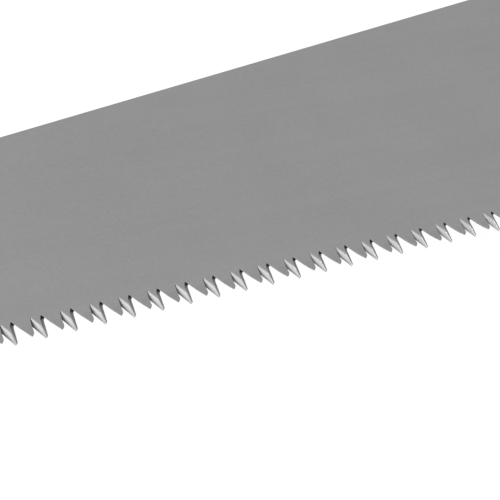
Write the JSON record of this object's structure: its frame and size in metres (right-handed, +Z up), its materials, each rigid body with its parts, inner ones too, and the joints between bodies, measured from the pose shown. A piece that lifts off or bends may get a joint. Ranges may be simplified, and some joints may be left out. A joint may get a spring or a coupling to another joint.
{
  "type": "back saw",
  "caption": "Half-back hand saw: tapered toothed steel plate stiffened along its rear back edge by a folded brass strip, with a closed wooden handle held by slotted saw screws.",
  "frame": {"origin": "on the handle's lower cheek, at the place along the tooth line where the teeth end", "axes": "+X along the tooth line from toe to handle, +Y from the teeth to the back, +Z up through the plate, which lies flat"},
  "size_m": [0.4956, 0.1273, 0.0237],
  "materials": {
    "steel": "matte grey, teeth ground bright",
    "brass": "satin",
    "beech": "oiled"
  },
  "bodies": {
    "root": {"saw_plate": "steel", "back": "brass", "handle": "beech", "screw_front": "brass", "screw_rear": "brass", "screw_medallion": "brass", "screw_low": "brass", "nut_front": "brass", "nut_rear": "brass", "nut_medallion": "brass", "nut_low": "brass"}
  },
  "joints": []
}
